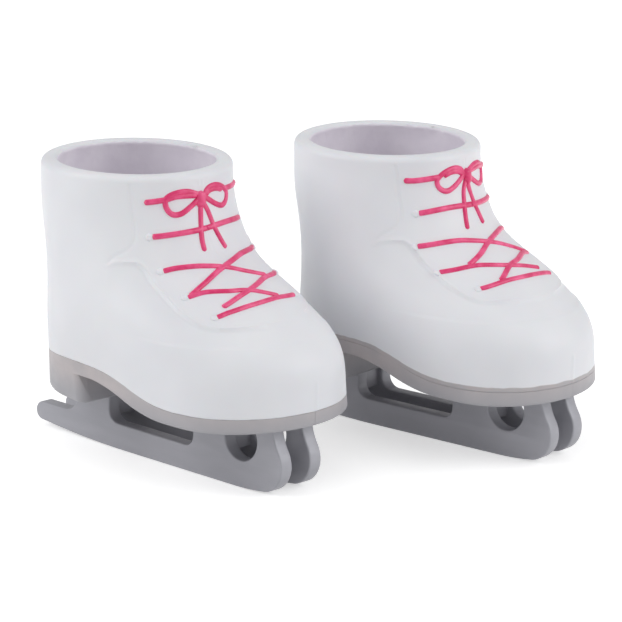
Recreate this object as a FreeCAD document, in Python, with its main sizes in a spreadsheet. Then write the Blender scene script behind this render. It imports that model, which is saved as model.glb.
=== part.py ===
import FreeCAD, Part
import math
import os
import Sketcher
from FreeCAD import Placement, Rotation, Vector

# A pair of figure skates for a doll. Each skate has its own frame: +X to the toe,
# +Y to the wearer's left, +Z up, with z = 0 under the flat of the runners.
# Lengths are millimetres and angles are degrees.
sizes = {
    # boot shell
    "wall": 2.8,
    "boot_floor": 2.4,
    "toe_lean": 1.5,
    "lean_start_x": 5.0,
    "lean_length": 33.0,
    "hull_softness": 2.0,
    "section_centre_x": -6.0,
    # outsole
    "sole_z": 14.0,
    "sole_thickness": 2.9,
    "band_lead": 2.3,
    "band_fall": 1.3,
    "band_fall_x": -12.0,
    "arch_rise": 4.4,
    "arch_front_x": 17.0,
    "arch_rear_x": -7.0,
    "heel_height": 6.2,
    "heel_set_back": 1.4,
    "heel_corner_radius": 2.0,
    # blade frame
    "frame_width": 11.1,
    "runner_gap": 4.96,
    "flat_rear_x": -8.0,
    "flat_front_x": 22.0,
    "tail_x": -35.4,
    "tail_foot_z": 1.3,
    "tail_top_z": 5.1,
    "tail_rocker_radius": 250.0,
    "toe_rocker_radius": 63.0,
    "nose_x": 34.2,
    "nose_z": 8.9,
    "nose_foot_run": 3.5,
    "nose_foot_z": 0.6,
    "nose_radius": 5.5,
    "waist_run": 1.6,
    "waist_drop": 1.2,
    "waist_radius": 11.0,
    "slot_front_x": 10.5,
    "slot_rear_x": -13.6,
    "slot_floor_z": 5.3,
    "slot_front_radius": 2.2,
    "slot_rear_radius": 2.6,
    "column_rear_x": -22.8,
    "column_foot_radius": 4.0,
    "hole_x": 23.8,
    "hole_drop": 4.1,
    "hole_radius": 4.4,
    "bridge_foot_z": 5.6,
    "bridge_half_length": 3.6,
    # fixings, each screw in the middle of a column
    "screw_radius": 1.1,
    "screw_clearance": 0.05,
    "screw_bite": 5.0,
    "screw_tip": 1.2,
    "screw_head_radius": 2.2,
    "screw_head_rise": 1.4,
    "washer_radius": 3.2,
    "washer_thickness": 0.6,
    "seat_clearance": 0.25,
    "seat_depth": 0.5,
    # laces
    "lace_radius": 0.55,
    "lace_bend_radius": 0.65,
    "knot_radius": 1.15,
    # the pair as it stands
    "left_x": 20.4,
    "left_y": 51.9,
    "left_turn": 5.44,
}

# Boot sections, one row for each rise above the ball's underside, and the first one at
# the foot of the heel. The heel is an arc and the toe is half an ellipse, and the section
# is the soft outline drawn round both.
station_sizes = ("rise", "heel_x", "heel_radius", "toe_x", "toe_length", "toe_half_width")
stations = {
    "heel": (0, -30.3, 17.3, 38.1, 15.0, 20.6),
    "welt": (6.0, -29.7, 19.2, 38.1, 18.2, 20.8),
    "vamp": (13.0, -29.1, 21.3, 36.7, 20.0, 20.7),
    "instep": (20.0, -28.7, 22.1, 27.9, 19.2, 19.6),
    "throat": (28.0, -29.5, 21.0, 13.6, 19.8, 17.5),
    "ankle": (37.0, -30.7, 19.7, 6.5, 18.6, 18.2),
    "cuff": (45.2, -31.0, 19.2, 6.9, 18.7, 19.0),
}
section_points = 40

# Lace runs over the front of a right boot, each point as its y and its rise above sole_z.
lace_crosses = [
    [(-12.0, 33.7), (-7.3, 34.1), (-2.2, 34.4), (3.2, 34.7), (7.1, 34.6), (11.7, 34.1)],
    [(-12.4, 27.6), (-9.9, 28.1), (-5.9, 28.2), (-0.9, 27.6), (4.0, 26.2), (8.7, 24.8)],
    [(14.0, 28.0), (8.7, 28.6), (4.6, 28.5), (-2.0, 27.3), (-7.7, 25.4), (-11.6, 23.8)],
    [(-12.2, 23.6), (-8.6, 24.3), (-4.1, 24.2), (0.6, 23.8), (6.2, 22.2)],
    [(14.4, 23.8), (8.4, 24.6), (4.0, 24.4), (-2.8, 23.4), (-8.2, 22.1)],
    [(-10.8, 20.7), (-7.5, 21.4), (-2.1, 22.0), (4.9, 22.1), (11.6, 21.3)],
]
lace_bow = [
    [(-12.2, 40.2), (-8.8, 40.6), (-6.2, 41.1), (-1.9, 40.9)],
    [(-1.2, 40.8), (-3.9, 41.8), (-6.4, 41.8), (-8.4, 40.9), (-8.6, 39.2), (-7.7, 37.8), (-6.0, 37.7),
     (-3.8, 38.8), (-1.6, 40.2)],
    [(-0.6, 40.3), (0.8, 41.8), (2.8, 42.2), (5.2, 41.6), (6.9, 40.3), (6.6, 38.7), (5.0, 37.9),
     (2.8, 38.6), (-0.4, 40.6)],
    [(0.1, 40.6), (1.4, 41.4), (3.4, 41.5), (5.4, 40.9)],
    [(5.8, 40.9), (8.6, 40.7), (11.4, 40.5), (13.0, 40.6)],
    [(-1.3, 39.0), (-1.7, 36.7), (-2.2, 34.6), (-2.7, 32.6), (-3.0, 30.4)],
    [(-0.7, 39.5), (0.4, 37.4), (1.3, 34.1), (2.6, 30.2)],
]
knot_place = (-1.2, 39.9)

doc = FreeCAD.newDocument("doll_figure_skates")
sheet = doc.addObject("Spreadsheet::Sheet", "Sizes")
for station, values in stations.items():
    for name, value in zip(station_sizes, values):
        sizes[station + "_" + name] = value
for row, (name, value) in enumerate(sizes.items(), 1):
    sheet.set("A" + str(row), name)
    sheet.set("B" + str(row), str(value))
    sheet.setAlias("B" + str(row), name)
doc.recompute()


def size(name):
    return float(sheet.get(name))


def bound(expression):
    # A size or a sum of sizes, written with the sheet's own names.
    words = sorted(sizes, key=len, reverse=True)
    parts = []
    rest = expression
    while rest:
        word = next((w for w in words if rest.startswith(w)), None)
        parts.append("Sizes." + word if word else rest[0])
        rest = rest[len(word):] if word else rest[1:]
    return "".join(parts)


def amount(expression):
    return float(doc.getObject("Sizes").evalExpression(expression))


arch_radius = "((arch_front_x - arch_rear_x)^2 + arch_rise^2) / (4 * arch_rise)"
heel_z = "(sole_z + arch_rise - heel_height)"
heel_screw_x = "((slot_rear_x + column_rear_x) / 2)"
ball_screw_x = "((slot_front_x + hole_x - hole_radius) / 2)"
tail_radius = "((tail_top_z - tail_foot_z) / 2)"


# Sketches.

def arcBetween(start, end, radius, convex):
    chord = end - start
    middle = (start + end) * 0.5
    left = Vector(-chord.y, chord.x, 0).normalize()
    reach = math.sqrt(radius ** 2 - chord.Length ** 2 / 4)
    centre = middle + left * (reach if convex else -reach)
    first, last = (start, end) if convex else (end, start)
    angles = [math.atan2(p.y - centre.y, p.x - centre.x) for p in (first, last)]
    return Part.ArcOfCircle(Part.Circle(centre, Vector(0, 0, 1), radius), angles[0], angles[1])


def addOutline(sketch, corners):
    # Each corner is (x, y, edge): the edge that leaves it is None for a straight line,
    # or a radius and True for an arc that bulges out of the outline.
    places = [Vector(amount(x), amount(y), 0) for x, y, edge in corners]
    ends = []
    for i, (x, y, edge) in enumerate(corners):
        here, there = places[i], places[(i + 1) % len(corners)]
        if edge is None:
            geometry = sketch.addGeometry(Part.LineSegment(here, there))
            ends.append((geometry, 1, 2))
            continue
        radius, convex = edge
        geometry = sketch.addGeometry(arcBetween(here, there, amount(radius), convex))
        ends.append((geometry, 1, 2) if convex else (geometry, 2, 1))
        radiusIndex = sketch.addConstraint(Sketcher.Constraint("Radius", geometry, amount(radius)))
        sketch.setExpression("Constraints[" + str(radiusIndex) + "]", bound(radius))
    for i, (x, y, edge) in enumerate(corners):
        geometry, start, end = ends[i]
        following = ends[(i + 1) % len(ends)]
        sketch.addConstraint(Sketcher.Constraint("Coincident", geometry, end, following[0], following[1]))
        for direction, axis, expression in (("DistanceX", -2, x), ("DistanceY", -1, y)):
            if expression == "0":
                sketch.addConstraint(Sketcher.Constraint("PointOnObject", geometry, start, axis))
                continue
            rule = Sketcher.Constraint(direction, geometry, start, amount(expression))
            index = sketch.addConstraint(rule)
            sketch.setExpression("Constraints[" + str(index) + "]", bound(expression))


def addCircle(sketch, x, y, radius):
    centre = Vector(amount(x), amount(y) if y != "0" else 0, 0)
    circle = sketch.addGeometry(Part.Circle(centre, Vector(0, 0, 1), amount(radius)))
    index = sketch.addConstraint(Sketcher.Constraint("Radius", circle, amount(radius)))
    sketch.setExpression("Constraints[" + str(index) + "]", bound(radius))
    for direction, axis, expression in (("DistanceX", -2, x), ("DistanceY", -1, y)):
        if expression == "0":
            sketch.addConstraint(Sketcher.Constraint("PointOnObject", circle, 3, axis))
            continue
        rule = Sketcher.Constraint(direction, circle, 3, amount(expression))
        index = sketch.addConstraint(rule)
        sketch.setExpression("Constraints[" + str(index) + "]", bound(expression))


def newSketch(body, name, plane):
    sketch = body.newObject("Sketcher::SketchObject", name)
    role = plane + "_Plane"
    origin = next(feature for feature in body.Origin.OriginFeatures if feature.Role == role)
    sketch.AttachmentSupport = [(origin, "")]
    sketch.MapMode = "FlatFace"
    return sketch


# Blade frame: two runner plates joined by a bridge at each column.

def bladeFrame(prefix):
    body = doc.addObject("PartDesign::Body", prefix + "_blade_frame")
    side = newSketch(body, prefix + "_frame_side", "XZ")
    seat_z = "sole_z + " + arch_radius + " - sqrt((" + arch_radius + ")^2 - (arch_front_x - slot_front_x)^2)"
    addOutline(side, [
        ("tail_x + " + tail_radius, "tail_foot_z", ("tail_rocker_radius", True)),
        ("flat_rear_x", "0", None),
        ("flat_front_x", "0", ("toe_rocker_radius", True)),
        ("nose_x - nose_foot_run", "nose_foot_z", ("nose_radius", True)),
        ("nose_x", "nose_z", ("waist_radius", False)),
        ("nose_x - waist_run", "sole_z - waist_drop", None),
        ("nose_x - waist_run", "sole_z", None),
        ("arch_front_x", "sole_z", (arch_radius, False)),
        ("slot_front_x", seat_z, None),
        ("slot_front_x", "slot_floor_z + slot_front_radius", ("slot_front_radius", False)),
        ("slot_front_x - slot_front_radius", "slot_floor_z", None),
        ("slot_rear_x + slot_rear_radius", "slot_floor_z", ("slot_rear_radius", False)),
        ("slot_rear_x", "slot_floor_z + slot_rear_radius", None),
        ("slot_rear_x", heel_z, None),
        ("column_rear_x", heel_z, None),
        ("column_rear_x", "tail_top_z + column_foot_radius", ("column_foot_radius", False)),
        ("column_rear_x - column_foot_radius", "tail_top_z", None),
        ("tail_x + " + tail_radius, "tail_top_z", (tail_radius, True)),
        ("tail_x", "tail_foot_z + " + tail_radius, (tail_radius, True)),
    ])
    plates = body.newObject("PartDesign::Pad", prefix + "_frame_pad")
    plates.Profile = side
    plates.SideType = "Symmetric"
    plates.setExpression("Length", bound("frame_width"))

    channel = newSketch(body, prefix + "_frame_channel", "XZ")
    low, high = "tail_x - frame_width", "nose_x + frame_width"
    addOutline(channel, [(low, low, None), (high, low, None), (high, high, None), (low, high, None)])
    for middle in (ball_screw_x, heel_screw_x):
        rear, front = middle + " - bridge_half_length", middle + " + bridge_half_length"
        top = "sole_z + arch_rise"
        addOutline(channel, [(rear, "bridge_foot_z", None), (front, "bridge_foot_z", None),
                             (front, top, None), (rear, top, None)])
    gap = body.newObject("PartDesign::Pocket", prefix + "_frame_gap")
    gap.Profile = channel
    gap.SideType = "Symmetric"
    gap.setExpression("Length", bound("runner_gap"))

    holeSketch = newSketch(body, prefix + "_frame_hole", "XZ")
    addCircle(holeSketch, "hole_x", "sole_z - hole_drop", "hole_radius")
    hole = body.newObject("PartDesign::Pocket", prefix + "_frame_hole_cut")
    hole.Profile = holeSketch
    hole.SideType = "Symmetric"
    hole.setExpression("Length", bound("frame_width * 2"))

    pilotSketch = newSketch(body, prefix + "_frame_pilots", "XY")
    for x in (ball_screw_x, heel_screw_x):
        addCircle(pilotSketch, x, "0", "screw_radius + screw_clearance")
    pilots = body.newObject("PartDesign::Pocket", prefix + "_frame_pilot_cut")
    pilots.Profile = pilotSketch
    pilots.Reversed = True
    pilots.setExpression("Length", bound("sole_z * 2"))
    return body


# Boot and outsole: one free-form outside, split where they meet.

def sectionWire(station, inset):
    rise, heel_x, heel_radius, toe_x, toe_length, toe_half_width = [
        size(station + "_" + name) for name in station_sizes]
    height = size("sole_z") + rise if rise else amount(heel_z)
    softness = size("hull_softness")
    middle = size("section_centre_x")
    heel = heel_x + heel_radius - middle
    toe = toe_x - toe_length - middle
    points = []
    for i in range(section_points):
        angle = 2 * math.pi * i / section_points
        c, s = math.cos(angle), math.sin(angle)
        # reach of the heel arc and of the toe ellipse in this direction, and their slopes
        oval = math.hypot(toe_length * c, toe_half_width * s)
        heel_reach, heel_slope = heel * c + heel_radius, -heel * s
        toe_reach = toe * c + oval
        toe_slope = -toe * s + (toe_half_width ** 2 - toe_length ** 2) * s * c / oval
        lead = heel_reach - toe_reach
        soft = math.hypot(lead, softness)
        reach = (heel_reach + toe_reach + soft - softness) / 2 - inset
        slope = (heel_slope + toe_slope + lead * (heel_slope - toe_slope) / soft) / 2
        x = middle + reach * c - slope * s
        y = reach * s + slope * c
        lean = min(max((x - size("lean_start_x")) / size("lean_length"), 0), 1)
        points.append(Vector(x, y + size("toe_lean") * lean ** 2, height))
    curve = Part.BSplineCurve()
    curve.interpolate(Points=points, PeriodicFlag=True)
    return Part.Wire([curve.toShape()])


def bootForm(inset):
    return Part.makeLoft([sectionWire(station, inset) for station in stations], True, False)


def aboveSole(rise, top, lead, behind=()):
    # Everything between the arched sole line, raised by rise and shifted ahead by lead, and
    # a level top. behind adds corners behind the arch, as (x, z).
    front_x, rear_x = size("arch_front_x") + lead, size("arch_rear_x") + lead
    low = size("sole_z") + rise
    high = low + size("arch_rise")
    radius = amount(arch_radius)
    middle = Vector((front_x + rear_x) / 2, 0, (low + high) / 2)
    half_turn = math.asin((front_x - rear_x) / 2 / radius) / 2
    front_bow = Vector(front_x - radius * math.sin(half_turn), 0,
                       low + radius * (1 - math.cos(half_turn)))
    rear_bow = Vector(rear_x + radius * math.sin(half_turn), 0,
                      high - radius * (1 - math.cos(half_turn)))
    far = size("nose_x") * 2
    front, rear = Vector(front_x, 0, low), Vector(rear_x, 0, high)
    arch = [Part.Arc(front, front_bow, middle).toShape(), Part.Arc(middle, rear_bow, rear).toShape()]
    corners = [(rear_x, high)] + list(behind)
    corners += [(-far, corners[-1][1]), (-far, top), (far, top), (far, low), (front_x, low)]
    outline = Part.makePolygon([Vector(x, 0, z) for x, z in corners])
    face = Part.Face(Part.Wire(arch + outline.Edges))
    face.translate(Vector(0, -far, 0))
    return face.extrude(Vector(0, 2 * far, 0))


def bandBack():
    # the band's upper line falls a little towards the back of the heel
    high = size("sole_z") + size("arch_rise") + size("sole_thickness")
    return [(size("band_fall_x"), high), (size("heel_heel_x"), high - size("band_fall"))]


def floorTop(x):
    # Height of the boot floor's top face at x, on its level parts.
    rise = size("arch_rise") if x < size("arch_rear_x") else 0
    return size("sole_z") + rise + size("sole_thickness") + size("boot_floor")


def screwPlaces():
    return amount(ball_screw_x), amount(heel_screw_x)


def screwSeat(x):
    return floorTop(x) - size("seat_depth")


def screwHoles():
    radius = size("screw_radius") + size("screw_clearance")
    return [Part.makeCylinder(radius, floorTop(x), Vector(x, 0, 0)) for x in screwPlaces()]


def screwSeats():
    # each reaches a screw head's height above its floor, clear of the rising arch beside it
    radius = size("washer_radius") + size("seat_clearance")
    depth = size("seat_depth") + size("screw_head_rise")
    return [Part.makeCylinder(radius, depth, Vector(x, 0, screwSeat(x))) for x in screwPlaces()]


def bootShell():
    top = size("sole_z") + size("cuff_rise")
    thickness, lead = size("sole_thickness"), size("band_lead")
    form = bootForm(0).common(aboveSole(thickness, top, lead, bandBack()))
    cavity = bootForm(size("wall")).common(aboveSole(thickness + size("boot_floor"), top, lead))
    return form.cut([cavity] + screwHoles() + screwSeats())


def outsole():
    # the heel block stands below the band, behind an upright front face, and the band's
    # upper line runs ahead of its lower one
    front = size("arch_rear_x") - size("heel_set_back")
    step = [(front, size("sole_z") + size("arch_rise")), (front, amount(heel_z))]
    top = size("sole_z") + size("cuff_rise")
    above = aboveSole(size("sole_thickness"), 2 * top, size("band_lead"), bandBack())
    sole = bootForm(0).common(aboveSole(0, top, 0, step)).cut(above)
    corners = [edge for edge in sole.Edges if isUprightAt(edge, front)]
    return sole.makeFillet(size("heel_corner_radius"), corners).cut(screwHoles())


def isUprightAt(edge, x):
    ends = [vertex.Point for vertex in edge.Vertexes]
    return all(abs(point.x - x) < 0.01 for point in ends) and abs(ends[0].z - ends[-1].z) > 1


# Laces: round beads that lie half sunk in the boot's front.

def onBoot(form, y, rise):
    z = size("sole_z") + rise
    ray = Part.makeLine(Vector(size("section_centre_x"), y, z), Vector(2 * size("nose_x"), y, z))
    inside = form.common(ray)
    return max((vertex.Point for vertex in inside.Vertexes), key=lambda point: point.x)


def laces(form, runs, knots):
    radius = size("lace_radius")
    beads = []
    for run in runs:
        points = [onBoot(form, y, rise) for y, rise in run]
        beads += [Part.makeSphere(size("lace_bend_radius"), point) for point in points]
        for start, end in zip(points, points[1:]):
            beads.append(Part.makeCylinder(radius, start.distanceToPoint(end), start, end - start))
    beads += [Part.makeSphere(size("knot_radius"), onBoot(form, y, rise)) for y, rise in knots]
    return beads[0].fuse(beads[1:])


# Fixings: a screw and a washer at the ball and at the heel.

def screw(prefix, place, grip):
    body = doc.addObject("PartDesign::Body", prefix + "_" + place + "_screw")
    profile = newSketch(body, prefix + "_" + place + "_screw_profile", "XZ")
    length = "(" + grip + " + screw_bite)"
    addOutline(profile, [
        ("0", "-" + length, None),
        ("screw_radius", "screw_tip - " + length, None),
        ("screw_radius", "0", None),
        ("screw_head_radius", "0", None),
        ("screw_head_radius", "screw_head_rise / 2", None),
        ("screw_head_radius - screw_head_rise / 2", "screw_head_rise", None),
        ("0", "screw_head_rise", None),
    ])
    turned = body.newObject("PartDesign::Revolution", prefix + "_" + place + "_screw_turned")
    turned.Profile = profile
    turned.ReferenceAxis = (profile, ["V_Axis"])
    turned.Angle = 360
    return body


def washer(prefix, place):
    disc = doc.addObject("Part::Cylinder", prefix + "_" + place + "_washer_disc")
    bore = doc.addObject("Part::Cylinder", prefix + "_" + place + "_washer_bore")
    disc.setExpression("Radius", bound("washer_radius"))
    disc.setExpression("Height", bound("washer_thickness"))
    bore.setExpression("Radius", bound("screw_radius + screw_clearance"))
    bore.setExpression("Height", bound("washer_thickness"))
    ring = doc.addObject("Part::Cut", prefix + "_" + place + "_washer")
    ring.Base = disc
    ring.Tool = bore
    return ring


# The pair.

def flipped(shape):
    return shape.mirror(Vector(), Vector(0, 1, 0))


def freeForms():
    # The right skate's shapes and the left one's. The laces are laid on the other skate's
    # boot and mirrored, because fused beads keep all their faces outwards in a STEP file
    # only after that.
    form = bootForm(0)
    facing_form = flipped(form)
    right = {"boot_shell": bootShell(), "outsole": outsole()}
    left = {name: flipped(shape) for name, shape in right.items()}
    for name, runs, knots in (("lacing_crosses", lace_crosses, []), ("lacing_bow", lace_bow, [knot_place])):
        facing_runs = [[(-y, rise) for y, rise in run] for run in runs]
        facing_knots = [(-y, rise) for y, rise in knots]
        right[name] = flipped(laces(facing_form, facing_runs, facing_knots))
        left[name] = flipped(laces(form, runs, knots))
    return right, left


def addShape(label, shape):
    feature = doc.addObject("Part::Feature", label)
    feature.Shape = shape.Solids[0] if len(shape.Solids) == 1 else Part.makeCompound(shape.Solids)
    return feature


def skate(prefix, shapes):
    # Each entry is a sub-part and its place in the skate's own frame.
    parts = [(addShape(prefix + "_" + name, shape), Vector()) for name, shape in shapes.items()]
    parts.append((bladeFrame(prefix), Vector()))
    ball_grip = "(washer_thickness + boot_floor - seat_depth + sole_thickness)"
    heel_grip = "(washer_thickness + boot_floor - seat_depth + sole_thickness + heel_height)"
    for place, grip, x in zip(("ball", "heel"), (ball_grip, heel_grip), screwPlaces()):
        seat = Vector(x, 0, screwSeat(x))
        parts.append((washer(prefix, place), seat))
        parts.append((screw(prefix, place, grip), seat + Vector(0, 0, size("washer_thickness"))))
    return parts


def stand(parts, base):
    for part, offset in parts:
        part.Placement = base.multiply(Placement(offset, Rotation()))


right_shapes, left_shapes = freeForms()
right = skate("right", right_shapes)
left = skate("left", left_shapes)
right_base = Placement()
left_base = Placement(Vector(size("left_x"), size("left_y"), 0),
                      Rotation(Vector(0, 0, 1), size("left_turn")))
stand(right, right_base)
stand(left, left_base)
doc.recompute()

# The pair is centred over the origin, standing on z = 0.
whole = Part.makeCompound([part.Shape for part, offset in right + left]).optimalBoundingBox(False)
centring = Placement(Vector(-whole.Center.x, -whole.Center.y, 0), Rotation())
stand(right, centring.multiply(right_base))
stand(left, centring.multiply(left_base))
doc.recompute()

for feature in doc.Objects:
    if "Invalid" in feature.State or "Error" in feature.State:
        raise RuntimeError(feature.Label + " did not build: " + str(feature.State))
os.makedirs("parts", exist_ok=True)
for part, offset in right + left:
    shape = part.Shape
    if shape.isNull() or not shape.isValid():
        raise RuntimeError(part.Label + " has no valid shape")
    print(part.Label, len(shape.Solids), "solid", round(shape.Volume, 1), "mm3")
for part, offset in right + left:
    part.Shape.exportStep("parts/" + part.Label + ".step")
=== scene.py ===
import math

import bmesh
import bpy
import numpy as np
from mathutils import Matrix, Vector
from mathutils.bvhtree import BVHTree


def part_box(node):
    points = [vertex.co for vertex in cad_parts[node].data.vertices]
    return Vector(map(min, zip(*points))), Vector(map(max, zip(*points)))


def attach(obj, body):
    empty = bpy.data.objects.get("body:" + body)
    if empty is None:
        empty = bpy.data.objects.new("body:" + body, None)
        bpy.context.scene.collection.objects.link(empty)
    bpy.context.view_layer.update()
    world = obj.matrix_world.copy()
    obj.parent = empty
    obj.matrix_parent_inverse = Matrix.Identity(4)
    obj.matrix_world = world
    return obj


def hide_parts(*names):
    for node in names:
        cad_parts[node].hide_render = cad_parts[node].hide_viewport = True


# A pair of doll's figure skates. Every piece is modelled once, as the right skate in its
# own frame (+X to the toe, +Y to the wearer's left, z = 0 under the runners), and then
# placed twice: the left skate is its mirror image. Sizes are millimetres until placed.
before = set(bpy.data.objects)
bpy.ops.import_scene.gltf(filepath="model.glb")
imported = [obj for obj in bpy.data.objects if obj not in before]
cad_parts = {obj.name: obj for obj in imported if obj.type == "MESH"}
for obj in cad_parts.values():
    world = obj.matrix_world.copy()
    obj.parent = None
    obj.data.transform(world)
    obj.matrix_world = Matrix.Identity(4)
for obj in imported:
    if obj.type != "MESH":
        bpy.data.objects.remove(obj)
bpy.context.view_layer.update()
mm = 0.001
scene = bpy.context.scene
sides = ("right", "left")
ballScrewX = 14.95   # the front screw in each skate's own frame
weldDistance = 0.002   # points nearer than this are one


def splineThrough(knots, values):
    # natural cubic spline, one column of values for each curve
    knots, values = np.asarray(knots, float), np.asarray(values, float)
    gaps = np.diff(knots)
    slopes = np.diff(values, axis=0) / gaps[:, None]
    system, target = np.eye(len(knots)), np.zeros_like(values)
    for i in range(1, len(knots) - 1):
        system[i, i - 1:i + 2] = gaps[i - 1], 2 * (gaps[i - 1] + gaps[i]), gaps[i]
        target[i] = 6 * (slopes[i] - slopes[i - 1])
    bends = np.linalg.solve(system, target)

    def at(place):
        place = np.asarray(place, float)
        i = np.clip(np.searchsorted(knots, place) - 1, 0, len(gaps) - 1)
        gap = gaps[i][..., None]
        after = (place - knots[i])[..., None] / gap
        before = 1 - after
        bow = (before ** 3 - before) * bends[i] + (after ** 3 - after) * bends[i + 1]
        return before * values[i] + after * values[i + 1] + bow * gap ** 2 / 6

    return at


def smoothPath(points, step):
    # a smooth curve through given points, sampled evenly
    points = np.asarray(points, float)
    travel = np.concatenate([[0], np.cumsum(np.linalg.norm(np.diff(points, axis=0), axis=1))])
    return splineThrough(travel, points)(np.linspace(0, travel[-1], max(int(travel[-1] / step), 4)))


def gridFaces(rows, columns, closed):
    # quads of a grid whose points run row by row
    last = columns if closed else columns - 1
    row, column = np.meshgrid(np.arange(rows - 1), np.arange(last), indexing="ij")
    here, beside = row * columns + column, row * columns + (column + 1) % columns
    return np.stack([here, beside, beside + columns, here + columns], axis=-1).reshape(-1, 4)


def meshFrom(name, grid, faces):
    mesh = bpy.data.meshes.new(name)
    mesh.from_pydata(grid.reshape(-1, 3).tolist(), [], faces.tolist())
    return mesh


def tidyMesh(mesh):
    # welds coincident points, drops collapsed faces and turns every face outwards
    shape = bmesh.new()
    shape.from_mesh(mesh)
    bmesh.ops.remove_doubles(shape, verts=shape.verts, dist=weldDistance)
    bmesh.ops.dissolve_degenerate(shape, edges=shape.edges, dist=weldDistance / 4)
    bmesh.ops.recalc_face_normals(shape, faces=shape.faces)
    shape.to_mesh(mesh)
    shape.free()


def smoothShade(mesh, sharpest):
    mesh.shade_smooth()
    mesh.set_sharp_from_angle(angle=math.radians(sharpest))


def skateBase(side):
    # the two screws' axes give each skate's place and heading
    heel, ball = [sum(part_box(side + "_" + place + "_screw"), Vector()) / 2 for place in ("heel", "ball")]
    turn = math.atan2(ball.y - heel.y, ball.x - heel.x)
    ahead = Vector((math.cos(turn), math.sin(turn), 0))
    foot = Vector((ball.x, ball.y, 0)) - ahead * ballScrewX * mm
    mirror = -1 if side == "left" else 1
    sized = Matrix.Diagonal((mm, mirror * mm, mm, 1))
    return Matrix.Translation(foot) @ Matrix.Rotation(turn, 4, "Z") @ sized


def stand(mesh, name, nodes=()):
    # one copy of a finished mesh on each skate
    pieces = []
    for side in sides:
        copy = mesh.copy()
        copy.transform(skateBase(side))
        if side == "left":
            copy.flip_normals()
        piece = bpy.data.objects.new(side + "_" + name, copy)
        scene.collection.objects.link(piece)
        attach(piece, side + "_skate")
        if nodes:
            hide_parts(*[side + "_" + node for node in nodes])
        pieces.append(piece)
    return pieces


def node(tree, kind, inputs=(), **settings):
    # a node with its settings made, and each input linked or given a value
    made = tree.nodes.new(kind)
    for name, value in settings.items():
        setattr(made, name, value)
    for socket, value in inputs:
        if isinstance(value, bpy.types.NodeSocket):
            tree.links.new(value, made.inputs[socket])
        else:
            made.inputs[socket].default_value = value
    return made


def worked(tree, operation, *values):
    # one step of arithmetic in a tree
    return node(tree, "ShaderNodeMath", enumerate(values), operation=operation).outputs[0]


cameraView = {
    "place": (514.1, -497.6, 217.1),   # in the right skate's own frame
    "azimuth": 43.81,
    "pitchDown": 14.6325,
    "roll": 1.193,
    "lens": 216.25,
    "sensor": 36.0,
    "clipStart": 0.01,
}


def makeCamera():
    base = skateBase("right")
    camera = bpy.data.objects.new("camera", bpy.data.cameras.new("camera"))
    camera.data.lens = cameraView["lens"]
    camera.data.sensor_width = cameraView["sensor"]
    camera.data.clip_start = cameraView["clipStart"]
    turned = Matrix.Rotation(math.radians(cameraView["azimuth"]), 4, "Z")
    tipped = Matrix.Rotation(math.radians(90 - cameraView["pitchDown"]), 4, "X")
    rolled = Matrix.Rotation(math.radians(cameraView["roll"]), 4, "Z")
    stood = Matrix.Translation(base @ Vector(cameraView["place"]))
    camera.matrix_world = stood @ turned @ tipped @ rolled
    scene.collection.objects.link(camera)
    scene.camera = camera


makeCamera()
print("camera set")


soleLine = {
    "ballZ": 14.0,
    "archRise": 4.4,
    "frontX": 17.0,
    "rearX": -7.0,
    "thickness": 2.9,
    "topLead": 2.3,   # how far the band's upper line runs ahead of its lower one
    "bandFall": (-12.0, 18.3, 1.3),   # from x, over this length, down by
    "heelFootZ": 12.2,
    "heelFrontX": -8.4,
    "heelCornerRadius": 2.0,
    "heelFrontEase": 0.6,
    "edgeRadius": 0.6,
    "edgeTaper": (4.0, 0.35),   # the edge sharpens over this length towards the heel, to this share
    "heelRearEdge": (-18.0, 10.0, 0.8),   # behind x the heel's edge grows over this length by this much
    "straightStations": (18.0, 8.0),   # up to this far from x = 0, then blended over this length
    "referenceZ": 18.0,
    "acrossPoints": 24,
    "columns": (480, 16.0, 0.7),   # round the sole, spaced at this height, and the heel's share
    "stepGap": 0.05,   # a station nearer the heel's front face than this is left out
}

bootShape = {
    # height: heel x, heel radius, toe x, toe length, toe half width
    "stations": {
        12.2: (-30.3, 17.3, 38.1, 15.0, 20.6),
        20.0: (-29.7, 19.2, 38.1, 18.2, 20.8),
        27.0: (-29.1, 21.3, 36.7, 20.0, 20.7),
        34.0: (-28.7, 22.1, 27.9, 19.2, 19.6),
        42.0: (-29.5, 21.0, 13.6, 19.8, 17.5),
        51.0: (-30.7, 19.7, 6.5, 18.6, 18.2),
        59.2: (-31.0, 19.2, 6.9, 18.7, 19.0),
    },
    "middleX": -6.0,
    "softness": 2.0,
    "lean": (5.0, 33.0, 1.5),   # from x, over this length, sideways by
    "cuffZ": 59.2,
    "wall": 2.8,
    "floor": 2.4,
    "columns": 416,
    "outerRows": 128,
    "innerRows": 40,
    "rimRadius": (1.3, 0.6),   # outer and inner edge
    "rimLip": (0.55, 2.2),   # the cut rim is this much thicker, and over this depth
    "footRadius": 0.08,
    "rimRoughness": 0.14,
    "roughRows": (-1, 5),   # rows of the rim that are rough, counted from the lining's first
    "liningSpread": 1.3,   # rows inside lie closer together near the rim
    "columnHeights": (24.0, 50.0),   # the columns are spaced evenly at these heights
    "heelShare": 0.5,   # and are wider apart round the heel
}

stationAt = splineThrough(list(bootShape["stations"]), list(bootShape["stations"].values()))


def archRadius():
    span, rise = soleLine["frontX"] - soleLine["rearX"], soleLine["archRise"]
    return (span ** 2 + rise ** 2) / (4 * rise)


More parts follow.
